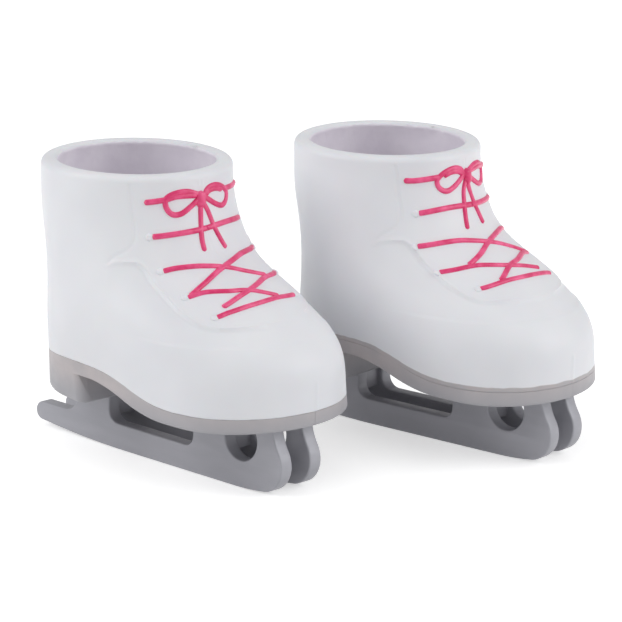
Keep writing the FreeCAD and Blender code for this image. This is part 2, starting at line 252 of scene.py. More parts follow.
def soleZ(x, lead=0.0):
    # the arch: level, then two equal arcs up to the heel
    x = np.asarray(x, float) - lead
    rise, front, rear = soleLine["archRise"], soleLine["frontX"], soleLine["rearX"]
    radius = archRadius()
    low = radius - np.sqrt(radius ** 2 - np.clip(front - x, 0, (front - rear) / 2) ** 2)
    high = rise - radius + np.sqrt(radius ** 2 - np.clip(x - rear, 0, (front - rear) / 2) ** 2)
    return soleLine["ballZ"] + np.where(x > (front + rear) / 2, low, high)


def bandTop(x):
    # falls a little towards the back of the heel
    start, length, fall = soleLine["bandFall"]
    behind = np.clip((start - np.asarray(x, float)) / length, 0, None)
    return soleZ(x, soleLine["topLead"]) + soleLine["thickness"] - fall * behind


def outline(angle, z, inset=0.0):
    # the soft outline round a heel arc and half an ellipse at the toe, at each height
    heelX, heelRadius, toeX, toeLength, toeHalfWidth = np.moveaxis(stationAt(z), -1, 0)
    middle, softness = bootShape["middleX"], bootShape["softness"]
    heel, toe = heelX + heelRadius - middle, toeX - toeLength - middle
    c, s = np.cos(angle), np.sin(angle)
    oval = np.hypot(toeLength * c, toeHalfWidth * s)
    heelSlope = -heel * s
    toeSlope = -toe * s + (toeHalfWidth ** 2 - toeLength ** 2) * s * c / oval
    lead = heel * c + heelRadius - toe * c - oval
    soft = np.hypot(lead, softness)
    reach = (heel * c + heelRadius + toe * c + oval + soft - softness) / 2 - inset
    slope = (heelSlope + toeSlope + lead * (heelSlope - toeSlope) / soft) / 2
    x = middle + reach * c - slope * s
    start, length, aside = bootShape["lean"]
    y = reach * s + slope * c + aside * np.clip((x - start) / length, 0, 1) ** 2
    return x, y


def spreadAngles(count, levels, heelShare):
    # columns spaced evenly along the levels' outlines, wider apart round the heel
    fine = np.linspace(-np.pi, np.pi, 6001)
    heelStart = np.radians(105)
    length = np.zeros(len(fine) - 1)
    for z in levels:
        x, y = outline(fine, z)
        length += np.hypot(np.diff(x), np.diff(y))
    middles = np.abs(fine[1:] + fine[:-1]) / 2
    length *= np.where(middles < heelStart, 1.0, heelShare)
    travel = np.concatenate([[0], np.cumsum(length)])
    return np.interp(np.arange(count) / count * travel[-1], travel, fine)


def wallFoot(angle, lift=0.0):
    # where the boot's wall meets the band's upper line, found by trying again from each answer
    z = np.full_like(angle, soleLine["referenceZ"])
    for trial in range(6):
        z = bandTop(outline(angle, z)[0]) + lift
    return z


bootMarks = {
    # lines moulded in the boot, as points near its surface, for y > 0 and mirrored
    "sideSeam": [(0.6, 14.3, 59.2), (1.2, 14.0, 55.7), (2.2, 14.2, 51.0), (3.0, 14.6, 47.2),
                 (2.3, 16.0, 45.2), (0.3, 17.8, 43.6), (-0.5, 18.5, 42.0)],
    "throat": [(-0.5, 18.5, 42.0), (0.7, 18.0, 42.7), (2.7, 16.7, 43.1), (4.9, 15.2, 43.0),
               (6.4, 14.5, 41.8), (8.2, 14.6, 40.0), (11.3, 14.7, 38.2), (15.1, 15.0, 36.2),
               (18.9, 14.7, 34.5), (21.9, 13.6, 33.3), (24.6, 10.9, 33.0), (27.0, 6.5, 32.9),
               (28.2, 0.3, 33.0)],
    "centreSeam": [(12.0, -1.1, 59.2), (12.0, -1.1, 55.5), (13.0, -1.0, 50.0), (15.5, -1.0, 44.5)],
    "toeParting": [(37.4, 1.7, 17.0), (37.5, 1.8, 19.5), (37.0, 1.7, 22.5)],
    "seamWidth": 0.24,
    "seamDepth": 0.15,
    "throatWidth": 0.3,
    "throatRise": 0.2,
    "throatStep": 0.28,
    "throatFade": 7.0,
    "throatEdge": 0.4,   # the panel stays level this near to the throat's line
    "panelFoot": 30.0,   # the panel lies above this height
    "panelSide": (0.5, 4.0),   # and deepens from x, over this length
    "centreWidth": 0.5,
    "centreRise": 0.12,
    "centreGroove": (1.6, 0.2),   # its depth as a share of the rise, and its width
    "partingRise": 0.12,
    "partingWidth": 0.35,
    "chunk": 4000,   # points measured at a time
}


def distanceTo(points, path):
    # distance from each point to the path, and which side of it the point lies on
    flat = points.reshape(-1, 3)
    along = np.gradient(path, axis=0)
    reach, nearest = np.empty(len(flat)), np.empty(len(flat), int)
    for start in range(0, len(flat), bootMarks["chunk"]):
        part = slice(start, start + bootMarks["chunk"])
        square = ((flat[part, None, :] - path[None]) ** 2).sum(-1)
        nearest[part] = square.argmin(1)
        reach[part] = np.sqrt(square.min(1))
    side = np.sign(np.cross(along[nearest], flat - path[nearest])[:, 0])
    return reach.reshape(points.shape[:-1]), side.reshape(points.shape[:-1])


def bell(distance, width):
    return np.exp(-(distance / width) ** 2)


def bothWays(points):
    return [points, [(x, -y, z) for x, y, z in points]]


def snapped(tree, points, step=0.15):
    # a path through the points, laid on the boot's surface
    path = smoothPath(points, step)
    return np.array([tree.find_nearest(Vector(point))[0] for point in path])


def bootRelief(wall, tree):
    # how far the moulded lines lift or sink each point of the outer wall
    marks = bootMarks
    lift = np.zeros(wall.shape[:2])
    for points in bothWays(marks["sideSeam"]):
        lift -= marks["seamDepth"] * bell(distanceTo(wall, snapped(tree, points))[0], marks["seamWidth"])
    throat = marks["throat"] + [(x, -y, z) for x, y, z in marks["throat"][-2::-1]]
    distance, side = distanceTo(wall, snapped(tree, throat))
    lift += marks["throatRise"] * bell(distance, marks["throatWidth"])
    # the panel inside the throat lies lower, less so towards the top of the sides
    within = (side > 0) & (wall[..., 2] > marks["panelFoot"])
    start, length = marks["panelSide"]
    forward = np.clip((wall[..., 0] - start) / length, 0, 1)
    share = forward * (1 - bell(distance, marks["throatEdge"])) * bell(distance, marks["throatFade"])
    lift -= np.where(within, marks["throatStep"] * share, 0)
    distance = distanceTo(wall, snapped(tree, marks["centreSeam"]))[0]
    depth, width = marks["centreGroove"]
    lift += marks["centreRise"] * (bell(distance, marks["centreWidth"]) - depth * bell(distance, width))
    distance = distanceTo(wall, snapped(tree, marks["toeParting"]))[0]
    lift += marks["partingRise"] * bell(distance, marks["partingWidth"])
    return lift


def surfaceNormals(grid):
    # outward normals of a grid whose columns close round the boot
    across = np.roll(grid, -1, axis=1) - np.roll(grid, 1, axis=1)
    upward = np.gradient(grid, axis=0)
    normal = np.cross(across, upward)
    return normal / np.linalg.norm(normal, axis=-1, keepdims=True)


def ring(angle, z, inset=0.0):
    z = np.broadcast_to(z, angle.shape)
    x, y = outline(angle, z, inset)
    return np.stack([x, y, z], axis=-1)


def makeBoot():
    shape = bootShape
    angle = spreadAngles(shape["columns"], shape["columnHeights"], shape["heelShare"])
    foot, top = wallFoot(angle), shape["cuffZ"]
    footEdge, (outerEdge, innerEdge) = shape["footRadius"], shape["rimRadius"]

    share = np.linspace(0, 1, shape["outerRows"])[:, None]
    start = foot + footEdge
    wall = ring(np.broadcast_to(angle, (len(share), len(angle))), start + share * (top - outerEdge - start))
    wallFaces = gridFaces(len(share), len(angle), True)
    tree = BVHTree.FromPolygons(wall.reshape(-1, 3).tolist(), wallFaces.tolist())
    lift = bootRelief(wall, tree)
    lift[0], lift[-1] = 0, 0
    relief = wall + lift[..., None] * surfaceNormals(wall)

    rows = []
    for inward in (1.0, 0.85, 0.6, 0.3):   # the underside, from its middle out
        x, y = outline(angle, foot, footEdge)
        x, y = x + (shape["middleX"] - x) * inward, y * (1 - inward)
        rows.append(np.stack([x, y, bandTop(x)], axis=-1))
    for turn in np.radians((0, 45)):
        rise = math.sin(turn)
        rows.append(ring(angle, foot + footEdge * rise, footEdge * (1 - rise)))
    rows += list(relief)
    for turn in np.radians((15, 30, 45, 60, 75, 90)):
        rows.append(ring(angle, top - outerEdge * (1 - math.sin(turn)), outerEdge * (1 - math.cos(turn))))
    lip, lipDepth = shape["rimLip"]
    flatEnd = shape["wall"] + lip - innerEdge
    for inset in np.linspace(outerEdge, flatEnd, 5)[1:]:
        rows.append(ring(angle, top, inset))
    for turn in np.radians((30, 60, 90)):
        rows.append(ring(angle, top - innerEdge * (1 - math.cos(turn)), flatEnd + innerEdge * math.sin(turn)))
    liningStart = len(rows) - 2
    floorLift = shape["floor"]
    floorZ = wallFoot(angle, floorLift)
    for share in np.linspace(0, 1, shape["innerRows"])[1:] ** shape["liningSpread"]:
        z = top - innerEdge + share * (floorZ - top + innerEdge)
        rows.append(ring(angle, z, shape["wall"] + lip * np.exp(-(top - innerEdge - z) / lipDepth)))
    edgeX, edgeY = rows[-1][:, 0], rows[-1][:, 1]
    for inward in (0.1, 0.3, 0.55, 0.8, 1.0):
        x, y = edgeX + (shape["middleX"] - edgeX) * inward, edgeY * (1 - inward)
        rows.append(np.stack([x, y, bandTop(x) + floorLift], axis=-1))

    grid = np.array(rows)
    # the cut rim is rough just inside the mouth
    rough = np.random.default_rng(7).normal(size=grid.shape[:2])
    rough = (rough + np.roll(rough, 1, axis=1) + np.roll(rough, 2, axis=1)) / math.sqrt(3)
    mouth = np.zeros(len(grid))
    first, last = shape["roughRows"]
    mouth[liningStart + first:liningStart + last] = shape["rimRoughness"]
    grid[..., 2] -= np.abs(rough) * mouth[:, None]

    mesh = meshFrom("boot", grid, gridFaces(len(grid), len(angle), True))
    height = mesh.attributes.new("aboveBand", "FLOAT", "POINT")
    height.data.foreach_set("value", (grid[..., 2] - bandTop(grid[..., 0])).ravel().astype(np.float32))
    lining = np.repeat(np.arange(len(grid) - 1) >= liningStart, len(angle))
    mesh.polygons.foreach_set("material_index", lining.astype(np.int32))
    tidyMesh(mesh)
    smoothShade(mesh, 50)
    return mesh, tree


bootMesh, bootTree = makeBoot()
print("boot modelled:", len(bootMesh.polygons), "faces")


def angleAt(x, z):
    # the direction in which the outline at height z reaches x, on the side of y > 0
    turns = np.linspace(0, np.pi, 1601)
    reached = outline(turns, np.full_like(turns, z))[0]
    return np.interp(-x, -reached, turns)


def soleStations():
    # across the sole: reference x, whether the heel block hangs below, and its plan tuck and lift
    shape = soleLine
    count, level, heelShare = shape["columns"]
    turns = spreadAngles(count, (level,), heelShare)
    turns = np.append(turns[count // 2:], np.pi)   # from the toe round to the heel, one side
    front, corner, ease = shape["heelFrontX"], shape["heelCornerRadius"], shape["heelFrontEase"]
    stations = []
    for x in outline(turns, np.full_like(turns, shape["referenceZ"]))[0]:
        if x > front + shape["stepGap"]:
            stations.append((x, False, 0.0, 0.0))
        elif x < front - corner - shape["stepGap"]:
            stations.append((x, True, 0.0, 0.0))
    for turn in np.radians(np.linspace(0, 90, 8)):
        x = front - corner * (1 - math.sin(turn))
        nearness = min(max((x - front + ease) / ease, 0), 1)
        stations.append((x, True, corner * (1 - math.cos(turn)), ease * (1 - math.sqrt(1 - nearness ** 2))))
    stations.append((front + 1e-3, False, 0.0, 0.0))
    return sorted(stations, key=lambda station: (-station[0], station[1]))


def soleEdge(x, onHeel):
    # the rounding of the lower edge, sharp where the arch meets the heel and soft behind
    shape = soleLine
    if onHeel:
        start, length, growth = shape["heelRearEdge"]
        return shape["edgeRadius"] + growth * min(max((start - x) / length, 0), 1)
    taper, sharpest = shape["edgeTaper"]
    return shape["edgeRadius"] * min(max((x - shape["heelFrontX"]) / taper, sharpest), 1)


def makeOutsole():
    shape = soleLine
    plainX, blend = shape["straightStations"]
    rings = []
    for x, onHeel, tuck, lifted in soleStations():
        reference = angleAt(x, shape["referenceZ"])
        # in the middle a station keeps its x at every height, and at both ends its direction
        drift = min(max((abs(x) - plainX) / blend, 0), 1)
        top = float(bandTop(x))
        for trial in range(3):
            top = float(bandTop(x + drift * (outline(reference, np.array(top))[0] - x)))
        under, edge = float(soleZ(x)), soleEdge(x, onHeel)
        lowest = (shape["heelFootZ"] + lifted if onHeel else under) + edge
        half = [(z, 0.0) for z in np.linspace(top, max(under, lowest), 9)]
        half += [(z, tuck) for z in np.linspace(max(under, lowest), lowest, 6)]
        half += [(lowest - edge * math.sin(bend), tuck + edge * (1 - math.cos(bend)))
                 for bend in np.radians((15, 30, 45, 60, 75, 90))]
        z, inset = np.array(half).T
        direction = np.array([reference * drift + (1 - drift) * angleAt(x, height) for height in z])
        near = np.stack([*outline(direction, z, inset), z], axis=-1)
        far = np.stack([*outline(-direction, z, inset), z], axis=-1)
        share = np.linspace(0, 1, shape["acrossPoints"])[1:-1, None]
        bottom = near[-1] + share * (far[-1] - near[-1])
        upper = far[0] + share * (near[0] - far[0])
        rings.append(np.concatenate([near, bottom, far[::-1], upper]))
    rings = np.array(rings)
    mesh = meshFrom("outsole", rings, gridFaces(rings.shape[0], rings.shape[1], True))
    tidyMesh(mesh)
    smoothShade(mesh, 48)
    return mesh


outsoleMesh = makeOutsole()
print("outsole modelled:", len(outsoleMesh.polygons), "faces")


bladeShape = {
    "width": 11.1,
    "gap": 4.96,
    "edgeRadius": 0.35,
    "flatX": (-8.0, 22.0),
    "tailX": -35.4,
    "tailZ": (1.3, 5.1),
    "tailRockerRadius": 250.0,
    "toeRockerRadius": 63.0,
    "noseX": 34.2,
    "noseZ": 8.9,
    "noseFoot": (30.7, 0.6),
    "noseRadius": 5.5,
    "waistX": 32.6,
    "waistZ": 12.8,
    "waistRadius": 11.0,
    "slotX": (-13.6, 10.5),
    "slotFloorZ": 5.3,
    "slotRadius": (2.6, 2.2),
    "columnRearX": -22.8,
    "columnFootRadius": 4.0,
    "hole": (23.8, 9.9),
    "holeRadius": 4.4,
    "heelScrewX": -18.2,
    "bridgeHalfLength": 3.6,
    "bridgeFootZ": 5.6,
    "bridgeTopGap": 0.05,   # below the sole
    "bridgeBite": 0.1,   # into each plate
    "bridgeRounding": 0.5,
    "arcStep": 0.35,
    "holeStep": 4,   # degrees
}


def plateCorners():
    # each corner is x, z and the edge that leaves it: None, or a radius and its bulge
    shape = bladeShape
    flatRear, flatFront = shape["flatX"]
    tailX, (tailLow, tailTop) = shape["tailX"], shape["tailZ"]
    tailRadius = (tailTop - tailLow) / 2
    noseX, noseZ, waistX = shape["noseX"], shape["noseZ"], shape["waistX"]
    slotRear, slotFront = shape["slotX"]
    floorZ, (rearBend, frontBend) = shape["slotFloorZ"], shape["slotRadius"]
    columnX, foot = shape["columnRearX"], shape["columnFootRadius"]
    ballZ, heelZ = soleLine["ballZ"], soleLine["heelFootZ"]
    return [
        (tailX + tailRadius, tailLow, (shape["tailRockerRadius"], True)),
        (flatRear, 0.0, None),
        (flatFront, 0.0, (shape["toeRockerRadius"], True)),
        (*shape["noseFoot"], (shape["noseRadius"], True)),
        (noseX, noseZ, (shape["waistRadius"], False)),
        (waistX, shape["waistZ"], None),
        (waistX, ballZ, None),
        (soleLine["frontX"], ballZ, (archRadius(), False)),
        (slotFront, float(soleZ(slotFront)), None),
        (slotFront, floorZ + frontBend, (frontBend, False)),
        (slotFront - frontBend, floorZ, None),
        (slotRear + rearBend, floorZ, (rearBend, False)),
        (slotRear, floorZ + rearBend, None),
        (slotRear, heelZ, None),
        (columnX, heelZ, None),
        (columnX, tailTop + foot, (foot, False)),
        (columnX - foot, tailTop, None),
        (tailX + tailRadius, tailTop, (tailRadius, True)),
        (tailX, tailLow + tailRadius, (tailRadius, True)),
    ]


def arcPoints(start, end, radius, convex, step):
    start, end = np.array(start), np.array(end)
    chord = end - start
    length = math.hypot(*chord)
    left = np.array([-chord[1], chord[0]]) / length
    reach = math.sqrt(radius ** 2 - length ** 2 / 4)
    centre = (start + end) / 2 + left * (reach if convex else -reach)
    first = math.atan2(*(start - centre)[::-1])
    turn = (math.atan2(*(end - centre)[::-1]) - first + math.pi) % (2 * math.pi) - math.pi
    count = max(2, math.ceil(abs(turn) * radius / step))
    angles = first + turn * np.arange(count) / count
    return [tuple(centre + radius * np.array([math.cos(a), math.sin(a)])) for a in angles]


def plateOutline():
    corners = plateCorners()
    points = []
    for (x, z, edge), (nextX, nextZ, following) in zip(corners, corners[1:] + corners[:1]):
        points += arcPoints((x, z), (nextX, nextZ), *edge, bladeShape["arcStep"]) if edge else [(x, z)]
    return points


def makeBladeFrame():
    shape = bladeShape
    curve = bpy.data.curves.new("runnerPlate", "CURVE")
    curve.dimensions, curve.fill_mode = "2D", "BOTH"
    thickness = (shape["width"] - shape["gap"]) / 2
    edge = shape["edgeRadius"]
    curve.extrude = thickness / 2 - edge
    curve.bevel_depth, curve.bevel_resolution, curve.offset = edge, 3, -edge
    (holeX, holeZ), radius = shape["hole"], shape["holeRadius"]
    hole = [(holeX + radius * math.cos(turn), holeZ + radius * math.sin(turn))
            for turn in np.radians(np.arange(0, 360, shape["holeStep"]))]
    for points in (plateOutline(), hole):
        spline = curve.splines.new("POLY")
        spline.points.add(len(points) - 1)
        spline.use_cyclic_u = True
        for point, (x, z) in zip(spline.points, points):
            point.co = (x, z, 0, 1)
    source = bpy.data.objects.new("runnerPlate", curve)
    plate = bpy.data.meshes.new_from_object(source)
    bpy.data.objects.remove(source)
    upright = Matrix.Rotation(math.radians(90), 4, "X")
    shell = bmesh.new()
    for across in (-1, 1):
        copy = plate.copy()
        copy.transform(Matrix.Translation((0, across * (shape["gap"] + thickness) / 2, 0)) @ upright)
        shell.from_mesh(copy)
    foot = shape["bridgeFootZ"]
    for middle, soleFoot in ((ballScrewX, soleLine["ballZ"]), (shape["heelScrewX"], soleLine["heelFootZ"])):
        top = soleFoot - shape["bridgeTopGap"]
        width = shape["gap"] + 2 * shape["bridgeBite"]
        size = Matrix.Diagonal((2 * shape["bridgeHalfLength"], width, top - foot, 1))
        place = Matrix.Translation((middle, 0, (top + foot) / 2))
        made = bmesh.ops.create_cube(shell, size=1, matrix=place @ size)
        crosswise = {edge for vert in made["verts"] for edge in vert.link_edges
                     if abs(edge.verts[0].co.y - edge.verts[1].co.y) > 1}
        bmesh.ops.bevel(shell, geom=list(crosswise), offset=shape["bridgeRounding"], segments=3,
                        affect="EDGES", profile=0.5)
    mesh = bpy.data.meshes.new("bladeFrame")
    shell.to_mesh(mesh)
    shell.free()
    tidyMesh(mesh)
    smoothShade(mesh, 40)
    return mesh


bladeMesh = makeBladeFrame()
print("blade frame modelled:", len(bladeMesh.polygons), "faces")


laceShape = {
    # each run goes across the boot's front, given as y and z
    "crosses": [
        [(-12.0, 47.7), (-7.3, 48.1), (-2.2, 48.4), (3.2, 48.7), (7.1, 48.6), (11.7, 48.1)],
        [(-12.4, 41.6), (-9.9, 42.1), (-5.9, 42.2), (-0.9, 41.6), (4.0, 40.2), (8.7, 38.8)],
        [(14.0, 42.0), (8.7, 42.6), (4.6, 42.5), (-2.0, 41.3), (-7.7, 39.4), (-11.6, 37.8)],
        [(-12.2, 37.6), (-8.6, 38.3), (-4.1, 38.2), (0.6, 37.8), (6.2, 36.2)],
        [(14.4, 37.8), (8.4, 38.6), (4.0, 38.4), (-2.8, 37.4), (-8.2, 36.1)],
        [(-10.8, 34.7), (-7.5, 35.4), (-2.1, 36.0), (4.9, 36.1), (11.6, 35.3)],
    ],
    "bow": [
        [(-12.2, 54.2), (-8.8, 54.6), (-6.2, 55.1), (-1.9, 54.9)],
        [(-1.2, 54.8), (-3.9, 55.8), (-6.4, 55.8), (-8.4, 54.9), (-8.6, 53.2), (-7.7, 51.8),
         (-6.0, 51.7), (-3.8, 52.8), (-1.6, 54.2)],
        [(-0.6, 54.3), (0.8, 55.8), (2.8, 56.2), (5.2, 55.6), (6.9, 54.3), (6.6, 52.7), (5.0, 51.9),
         (2.8, 52.6), (-0.4, 54.6)],
        [(0.1, 54.6), (1.4, 55.4), (3.4, 55.5), (5.4, 54.9)],
        [(5.8, 54.9), (8.6, 54.7), (11.4, 54.5), (13.0, 54.6)],
        [(-1.3, 53.0), (-1.7, 50.7), (-2.2, 48.6), (-2.7, 46.6), (-3.0, 44.4)],
        [(-0.7, 53.5), (0.4, 51.4), (1.3, 48.1), (2.6, 44.2)],
    ],
    "knot": [[(-0.9, 55.7), (-1.2, 53.9), (-1.3, 52.4)]],
    "planeX": 60.0,
    "halfWidth": 0.58,
    "halfHeight": 0.52,
    "sink": 0.08,
    "endRound": 0.55,
    "step": 0.22,
    "knotHalfWidth": 1.15,
    "knotHalfHeight": 1.0,
    "knotEndRound": 1.1,
    "narrowest": 0.03,   # a run's very end, as a share of its width
    "rayLength": 90.0,
    "roundPoints": 14,
}


def newTree(name, inputs):
    tree = bpy.data.node_groups.new(name, "GeometryNodeTree")
    tree.interface.new_socket("Geometry", in_out="INPUT", socket_type="NodeSocketGeometry")
    for label, kind in inputs:
        tree.interface.new_socket(label, in_out="INPUT", socket_type="NodeSocket" + kind)
    tree.interface.new_socket("Geometry", in_out="OUTPUT", socket_type="NodeSocketGeometry")
    return tree, tree.nodes.new("NodeGroupInput")


def finishTree(tree, geometry, material):
    real = node(tree, "GeometryNodeRealizeInstances", [(0, geometry)])
    painted = node(tree, "GeometryNodeSetMaterial", [("Geometry", real.outputs[0]), ("Material", material)])
    node(tree, "NodeGroupOutput", [(0, painted.outputs[0])])


def nodeMesh(name, source, tree, values):
    # runs a tree on source data and keeps the result as a plain mesh
    thing = bpy.data.objects.new(name, source)
    scene.collection.objects.link(thing)
    grown = thing.modifiers.new(name, "NODES")
    grown.node_group = tree
    sockets = {item.name: item.identifier for item in tree.interface.items_tree if item.in_out == "INPUT"}
    for label, value in values.items():
        grown[sockets[label]] = value
    bpy.context.view_layer.update()
    mesh = bpy.data.meshes.new_from_object(thing.evaluated_get(bpy.context.evaluated_depsgraph_get()))
    thing.modifiers.remove(grown)
    bpy.data.objects.remove(thing)
    return mesh


def routes(name, runs):
    # the runs stand on an upright plane ahead of the toe, as chains of edges
    points, edges = [], []
    for run in runs:
        edges += [(len(points) + i, len(points) + i + 1) for i in range(len(run) - 1)]
        points += [(laceShape["planeX"], y, z) for y, z in run]
    chains = bpy.data.meshes.new(name)
    chains.from_pydata(points, edges, [])
    return chains


def castBack(tree, boot):
    # what a ray straight back from each point meets on the boot
    shell = node(tree, "GeometryNodeObjectInfo", [("Object", boot)])
    place = node(tree, "GeometryNodeInputPosition")
    return node(tree, "GeometryNodeRaycast", [
        ("Target Geometry", shell.outputs["Geometry"]), ("Source Position", place.outputs[0]),
        ("Ray Direction", (-1, 0, 0)), ("Ray Length", laceShape["rayLength"])])


def laceTree():
    tree, given = newTree("laceBead", [
        ("Boot", "Object"), ("Half Width", "Float"), ("Half Height", "Float"), ("Sink", "Float"),
        ("End Round", "Float"), ("Step", "Float"), ("Paint", "Material")])
    take = given.outputs
    chains = node(tree, "GeometryNodeMeshToCurve", [("Mesh", take["Geometry"])])
    smooth = node(tree, "GeometryNodeCurveSplineType", [("Curve", chains.outputs[0])],
                  spline_type="CATMULL_ROM")
    even = node(tree, "GeometryNodeResampleCurve", [("Curve", smooth.outputs[0]), ("Length", take["Step"])],
                mode="LENGTH")
    hit = castBack(tree, take["Boot"])
    outwards = hit.outputs["Hit Normal"]
    faced = node(tree, "GeometryNodeSetCurveNormal", [("Curve", even.outputs[0]), ("Normal", outwards)],
                 mode="FREE")
    sink = node(tree, "ShaderNodeVectorMath", [(0, outwards), ("Scale", take["Sink"])], operation="SCALE")
    down = node(tree, "ShaderNodeVectorMath", [(0, hit.outputs["Hit Position"]), (1, sink.outputs[0])],
                operation="SUBTRACT")
    laid = node(tree, "GeometryNodeSetPosition", [
        ("Geometry", faced.outputs[0]), ("Position", down.outputs[0])])
    # both ends close like a dome
    travel = node(tree, "GeometryNodeSplineParameter").outputs["Length"]
    whole = node(tree, "GeometryNodeSplineLength").outputs["Length"]
    fromEnd = worked(tree, "MINIMUM", travel, worked(tree, "SUBTRACT", whole, travel))
    share = worked(tree, "MINIMUM", worked(tree, "DIVIDE", fromEnd, take["End Round"]), 1.0)
    rounded = worked(tree, "SUBTRACT", 1.0, worked(tree, "POWER", worked(tree, "SUBTRACT", 1.0, share), 2.0))
    dome = worked(tree, "MAXIMUM", worked(tree, "SQRT", rounded), laceShape["narrowest"])
    circle = node(tree, "GeometryNodeCurvePrimitiveCircle", [
        ("Resolution", laceShape["roundPoints"]), ("Radius", 1.0)])
    span = node(tree, "ShaderNodeCombineXYZ", [
        ("X", take["Half Height"]), ("Y", take["Half Width"]), ("Z", 1.0)])
    profile = node(tree, "GeometryNodeTransform", [
        ("Geometry", circle.outputs[0]), ("Scale", span.outputs[0])])
    bead = node(tree, "GeometryNodeCurveToMesh", [
        ("Curve", laid.outputs[0]), ("Profile Curve", profile.outputs[0]), ("Scale", dome),
        ("Fill Caps", True)])
    smoothed = node(tree, "GeometryNodeSetShadeSmooth", [("Geometry", bead.outputs[0])])
    finishTree(tree, smoothed.outputs[0], take["Paint"])
    return tree


def makeLaces(boot, paint):
    tree = laceTree()
    common = {"Boot": boot, "Sink": laceShape["sink"], "End Round": laceShape["endRound"],
              "Step": laceShape["step"], "Paint": paint}
    bead = {"Half Width": laceShape["halfWidth"], "Half Height": laceShape["halfHeight"], **common}
    knot = {**bead, "Half Width": laceShape["knotHalfWidth"], "Half Height": laceShape["knotHalfHeight"],
            "End Round": laceShape["knotEndRound"]}
    crosses = nodeMesh("crosses", routes("crosses", laceShape["crosses"]), tree, bead)
    bow = nodeMesh("bow", routes("bow", laceShape["bow"]), tree, bead)
    lump = nodeMesh("knot", routes("knot", laceShape["knot"]), tree, knot)
    joined = bmesh.new()
    joined.from_mesh(bow)
    joined.from_mesh(lump)
    joined.to_mesh(bow)
    joined.free()
    return crosses, bow


eyeletShape = {
    "radius": 0.8,
    "height": 0.3,
    "outward": 0.3,   # beyond the lace's end
    "nearestY": 9.5,   # a lace that ends nearer the middle has none
    "segments": 20,
    "rings": 10,
}


def eyeletTree():
    tree, given = newTree("eyeletBumps", [
        ("Boot", "Object"), ("Radius", "Float"), ("Height", "Float"), ("Vinyl", "Material")])
    take = given.outputs
    hit = castBack(tree, take["Boot"])
    turned = node(tree, "FunctionNodeAlignRotationToVector", [("Vector", hit.outputs["Hit Normal"])],
                  axis="Z")
    dome = node(tree, "GeometryNodeMeshUVSphere", [
        ("Segments", eyeletShape["segments"]), ("Rings", eyeletShape["rings"]), ("Radius", 1.0)])
    span = node(tree, "ShaderNodeCombineXYZ", [
        ("X", take["Radius"]), ("Y", take["Radius"]), ("Z", take["Height"])])
    # the ray runs from each point before it is moved, so the turn is kept on the point first
    kept = node(tree, "GeometryNodeStoreNamedAttribute", [("Geometry", take["Geometry"]), ("Name", "facing"),
                ("Value", turned.outputs[0])], data_type="QUATERNION", domain="POINT")
    laid = node(tree, "GeometryNodeSetPosition", [("Geometry", kept.outputs[0]),
                ("Position", hit.outputs["Hit Position"])])
    facing = node(tree, "GeometryNodeInputNamedAttribute", [("Name", "facing")], data_type="QUATERNION")
    bumps = node(tree, "GeometryNodeInstanceOnPoints", [
        ("Points", laid.outputs[0]), ("Instance", dome.outputs[0]),
        ("Rotation", facing.outputs[0]), ("Scale", span.outputs[0])])
    smoothed = node(tree, "GeometryNodeSetShadeSmooth", [("Geometry", bumps.outputs[0])])
    finishTree(tree, smoothed.outputs[0], take["Vinyl"])
    return tree


def makeEyelets(boot, vinyl):
    # a bump under the outer end of each lace
    places = []
    for run in laceShape["crosses"]:
        for y, z in (run[0], run[-1]):
            if abs(y) > eyeletShape["nearestY"]:
                places.append((laceShape["planeX"], y + math.copysign(eyeletShape["outward"], y), z))
    points = bpy.data.meshes.new("eyeletPlaces")
    points.from_pydata(places, [], [])
    return nodeMesh("eyelets", points, eyeletTree(), {"Boot": boot, "Radius": eyeletShape["radius"],
                    "Height": eyeletShape["height"], "Vinyl": vinyl})


def linear(red, green, blue):
    # a colour given as it looks on screen, 0 to 255
    parts = [channel / 255 for channel in (red, green, blue)]
    return (*[((part + 0.055) / 1.055) ** 2.4 if part > 0.04045 else part / 12.92 for part in parts], 1.0)


